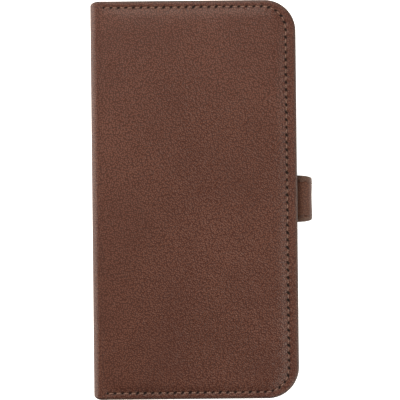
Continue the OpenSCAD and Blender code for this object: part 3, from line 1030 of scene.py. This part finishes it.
def button_pad(name, side, y, length, wall_x, z):
    """A low domed pad moulded over one of the phone's buttons."""
    surface = Surface()
    rings = []
    for shrink, out in ((0.0, -0.1), (0.0, 0.2), (0.12, 0.38), (0.4, 0.48), (0.8, 0.5)):
        loop = slot_loop(length - 2 * shrink, 3.2 - 2 * shrink)
        x = wall_x + side * (SHELL_WALL + out)
        rings.append(surface.add([(x, y + a, z + b) for a, b in loop]))
    surface.solid(rings)
    pad = new_object(name, surface.points, surface.faces, SHELL, "back_cover")
    sharpen(pad, 60)


# ---- strap

STRAP_HALF_W = LOOP_HIGH[1]
STRAP_T = LOOP_HIGH[2] - TIP_LINING_LOW[2]
FOLD_X = RIGHT + STRAP_T / 2 + 0.3
Z_LOW = LOOP_LOW[2] + STRAP_T / 2
Z_HIGH = LOOP_HIGH[2] - STRAP_T / 2
BEND_R = LOOP_HIGH[0] - STRAP_T / 2 - FOLD_X
ROOT_RUN = FOLD_X - (RIGHT - 1.6)
QUARTER = BEND_R * pi / 2
UPRIGHT = Z_HIGH - Z_LOW - 2 * BEND_R
TIP_RUN = FOLD_X - TIP_LOW[0]
STRAP_LENGTH = ROOT_RUN + 2 * QUARTER + UPRIGHT + TIP_RUN
STRAP_MID = ROOT_RUN + QUARTER + UPRIGHT / 2
TIP_R = 6.0
STRAP_SEAM_IN = 2.4
THREAD_DEPTH = 0.2
STRAP_GRAIN = 1.5


def strap_frame(t):
    """(x, z, outward x, outward z) of the strap's middle layer at distance t from its root."""
    past_root = t - ROOT_RUN
    rise = min(max(past_root - QUARTER, 0), UPRIGHT)
    turn = min(max(past_root - rise, 0), 2 * QUARTER) / BEND_R
    flat = abs(past_root - rise - turn * BEND_R)
    return (FOLD_X - flat + BEND_R * sin(turn), Z_LOW + rise + BEND_R * (1 - cos(turn)),
            sin(turn), -cos(turn))


def strap_half_width(t):
    """Half the strap's width: a slight waist at the bend and round corners at the end."""
    waist = 1.2 * exp(-((t - STRAP_MID) / 4.8) ** 2)
    half = STRAP_HALF_W - waist
    into_corner = t - (STRAP_LENGTH - TIP_R)
    if into_corner > 0:
        half -= TIP_R - sqrt(max(TIP_R ** 2 - into_corner ** 2, 0.0))
    return half


def strap_thickness(t):
    """Share of the full thickness: the root is thinned where it goes into the back cover."""
    return 0.45 + 0.55 * smooth_step(t, ROOT_RUN - 1.8, ROOT_RUN + 1.2)


def strap_point(t, y, depth):
    """A point of the strap, depth below its outer face, with the edges curled out at the bend."""
    x, z, nx, nz = strap_frame(t)
    bend = smooth_step(t, ROOT_RUN + 0.5, STRAP_MID) * (
        1 - smooth_step(t, STRAP_MID, ROOT_RUN + 2 * QUARTER + UPRIGHT - 0.5))
    curl = bend * (0.5 * (y / STRAP_HALF_W) ** 2 + 0.55)
    out = (STRAP_T / 2 - depth) * strap_thickness(t) + curl
    return (x + nx * out, y, z + nz * out)


def strap_rows(t0, t1):
    count = int((t1 - t0) / (PITCH / SAMPLES)) + 1
    rows = list(np.linspace(t0, t1, count))
    if t1 > STRAP_LENGTH - 0.01:
        rows = [t for t in rows if t < STRAP_LENGTH - 1.2]
        rows += [STRAP_LENGTH - d for d in (1.1, 0.8, 0.5, 0.28, 0.12, 0.03)]
    return rows


STRAP_ROUND = 0.28
GROOVE_SIDES = (-0.45, -0.25, 0.0, 0.25, 0.5, 1.1)


def strap_row(t, top, bottom, inset, stitched):
    """One cross-section of a band: its points, their edge tone and their pit shade, over the top and back
    beneath.
    """
    half = strap_half_width(t) - inset
    offsets = [0.0, 0.12, 0.3, 0.5, 0.75, 1.1] + [STRAP_SEAM_IN + side for side in GROOVE_SIDES]
    ys = [half - min(offset, half * 0.98) for offset in offsets] + [half * 0.3, 0.0]
    ys += [-y for y in reversed(ys[:-1])]
    to_hole = abs(((t - STRAP_MID) / PITCH + 0.5) % 1 - 0.5)
    hole = 1.0 if to_hole < 0.09 and t > ROOT_RUN else 0.0
    sewn_here = stitched and half - STRAP_SEAM_IN > 2
    points, edge_paint_shade_highlight, pit_shade = [], [], []
    for y in ys:
        from_edge = half - abs(y)
        drop = STRAP_ROUND * (1 - sqrt(max(1 - (1 - min(from_edge / STRAP_ROUND, 1)) ** 2, 0.0)))
        groove = exp(-((from_edge - STRAP_SEAM_IN) / 0.3) ** 2) if sewn_here else 0.0
        bevel = 0.28 * exp(-(from_edge / 1.2) ** 2)
        points.append(strap_point(t, y, top + drop + (0.22 + 0.25 * hole) * groove + bevel * stitched))
        # Painted highlight: the rim and the margin outside the seam turn toward the lighter, greyer edge
        # colour, the cut edge's own colour lit up where the bevel catches the light.
        rim = 0.6 * max(0.0, 1 - from_edge / 0.45)
        margin = 0.4 * (1 - smooth_step(from_edge, STRAP_SEAM_IN - 0.8, STRAP_SEAM_IN))
        edge_paint_shade_highlight.append((rim + margin) * stitched)
        # Painted shade in the seam groove, a little deeper at each stitch hole.
        pit_shade.append(groove * (0.2 + 0.1 * hole))
    for y in (ys[-1], ys[-1] * 0.985, ys[0] * 0.985, ys[0]):
        at_side = abs(y) > half * 0.99
        points.append(strap_point(t, y, bottom - (0.15 if at_side else 0.0)))
        edge_paint_shade_highlight.append(1.0 if at_side else 0.3)
        pit_shade.append(0.0)
    return points, edge_paint_shade_highlight, pit_shade


def strap_band(name, t0, t1, top, bottom, inset, material, stitched, grain_start):
    """A closed band of the strap between two depths, with round edges and a seam groove."""
    surface = Surface()
    rows = strap_rows(t0, t1)
    loops = [surface.add(*strap_row(t, top, bottom, inset, stitched)) for t in rows]
    surface.solid(loops)
    obj = new_object(name, surface.points, surface.faces, material)
    sharpen(obj, 50)
    places = [(t, surface.points[i][1], 0.0) for t, loop in zip(rows, loops) for i in loop]
    give_attributes(obj, surface, places, grain_start)
    return obj


def strap_stitches(name, t0, t1):
    """Threads along both edges of the strap between two distances from its root, lifted where it bends."""
    threads = Stitching()
    first = ceil((t0 - STRAP_MID) / PITCH)
    last = floor((t1 - STRAP_MID) / PITCH)
    for k in range(first, last):
        for side in (-1, 1):
            ends = []
            for share in (0.14, 0.86):
                t = STRAP_MID + (k + share) * PITCH
                y = side * (strap_half_width(t) - STRAP_SEAM_IN)
                ends.append(np.array(strap_point(t, y, THREAD_DEPTH)))
            t = STRAP_MID + (k + 0.5) * PITCH
            _, _, nx, nz = strap_frame(t)
            middle = np.array(strap_point(t, y, THREAD_DEPTH))
            sag = float(np.dot(middle - (ends[0] + ends[1]) / 2, (nx, 0, nz)))
            threads.add(*ends, (nx, 0, nz), rise=0.06 + sag, sink=0.2)
    return threads.make(name, material=DARK_THREAD)


def make_strap():
    leather_t = TIP_HIGH[2] - TIP_LOW[2]
    low_fold = (Vector((FOLD_X - 1.2, 0, Z_LOW)) * MM, Vector((FOLD_X + 2.4, 0, Z_LOW)) * MM)
    high_fold = (Vector((FOLD_X + 2.4, 0, Z_HIGH)) * MM, Vector((FOLD_X - 1.2, 0, Z_HIGH)) * MM)
    halves = (
        ("lower", "loop", 0.0, STRAP_MID, "back_cover", "strap_loop", low_fold),
        ("upper", "tip", STRAP_MID, STRAP_LENGTH, "strap_loop", "strap_tip", high_fold),
    )
    for half, part, t0, t1, body_a, body_b, (start, end) in halves:
        leather = strap_band(f"strap_{half}_leather", t0, t1, 0.0, leather_t, 0.0, STRAP, True, STRAP_GRAIN)
        lining = strap_band(f"strap_{half}_lining", t0, t1, leather_t, STRAP_T, 0.12, LINING, False,
                            STRAP_GRAIN + GRAIN_SHIFT)
        threads = strap_stitches(f"strap_{half}_seam", max(t0, ROOT_RUN + 0.5), min(t1, STRAP_LENGTH - 4))
        for obj, slot, node in ((leather, "outer_leather", f"strap_{part}_leather"),
                                (lining, "lining", f"strap_{part}_lining"),
                                (threads, "thread", f"strap_{part}_stitching")):
            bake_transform(obj)
            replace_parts(obj, node)


# ---- CAD nodes that stay

KEPT_NODES = {
    "back_board": BOARD, "front_board": BOARD, "spine_board": BOARD, "front_padding": FOAM,
    "shell_adhesive": ADHESIVE, "clasp_plate": STEEL, "clasp_magnet": MAGNET, "strap_root": SKIVED,
}


def finish_cad_nodes():
    for name, material in KEPT_NODES.items():
        obj = frame["nodes"][name]
        obj.data.materials.clear()
        obj.data.materials.append(material)


# ---- stage

def rectangle(x0, y0, x1, y1, z):
    return [(x0, y0, z), (x1, y0, z), (x1, y1, z), (x0, y1, z)]


def make_floor():
    """Evenly lit white paper, with a grey patch under the case as painted shadow."""
    half = 1500.0
    inset = 4.0
    drop = -0.31
    matt = {"Roughness": 0.9, "Specular IOR Level": 0.1}
    glow = {"Emission Color": rgb(1.0, 1.0, 1.0), "Emission Strength": 0.9}
    paper = finish(new_material("floor_paper")[0], {"Base Color": rgb(0.8, 0.8, 0.8), **matt, **glow})
    # Painted shadow: the patch under the case is grey and does not glow.
    shade = finish(new_material("floor_shade")[0], {"Base Color": rgb(0.5, 0.5, 0.5), **matt})
    outer = rectangle(-half, -half, half, half, drop)
    inner = rectangle(LEFT + inset, inset - HALF_H, RIGHT - inset, HALF_H - inset, drop)
    around = [(i, (i + 1) % 4, 4 + (i + 1) % 4, 4 + i) for i in range(4)]
    ground = new_object("floor", outer + inner, around, paper, closed=False)
    under = new_object("floor_painted_shadow", inner, [(0, 1, 2, 3)], shade, closed=False)


WARM = (1.0, 0.94, 0.83)


def area_light(name, place, size, power):
    """A soft square lamp that points at the case's middle."""
    data = bpy.data.lights.new(name, "AREA")
    data.size = size
    data.energy = power
    data.color = WARM
    lamp = add_object(name, data)
    lamp.location = place
    lamp.rotation_euler = (-Vector(place)).to_track_quat("-Z", "Y").to_euler()


def make_lights():
    area_light("key_light", (-0.15, 0.55, 0.5), 0.22, 6.0)
    area_light("fill_light", (0.62, -0.3, 0.5), 0.3, 7.0)
    area_light("spine_light", (-0.8, 0.1, 0.22), 0.3, 8.0)
    world = bpy.data.worlds.new("studio")
    world.use_nodes = True
    feed(world.node_tree, world.node_tree.nodes["Background"], {"Color": rgb(1.0, 1.0, 1.0), "Strength": 0.2})
    bpy.context.scene.world = world
    bpy.context.scene.view_settings.view_transform = "Standard"


def make_camera():
    """Straight down on the front cover, turned by the small tilt that the case is seen at."""
    tilt = radians(0.6)
    distance = 1.3
    view_width = 0.1654
    data = bpy.data.cameras.new("camera")
    data.sensor_width = 36.0
    data.lens = data.sensor_width * distance / view_width
    camera = add_object("camera", data)
    camera.location = (-0.0007, -0.0001, CASE_T * MM + distance)
    camera.rotation_euler = (0, 0, -tilt)
    bpy.context.scene.camera = camera


make_camera()
make_covers()
make_linings()
make_seams()
make_pockets()
make_inner_seam()
make_shell()
make_strap()
finish_cad_nodes()
make_floor()
make_lights()
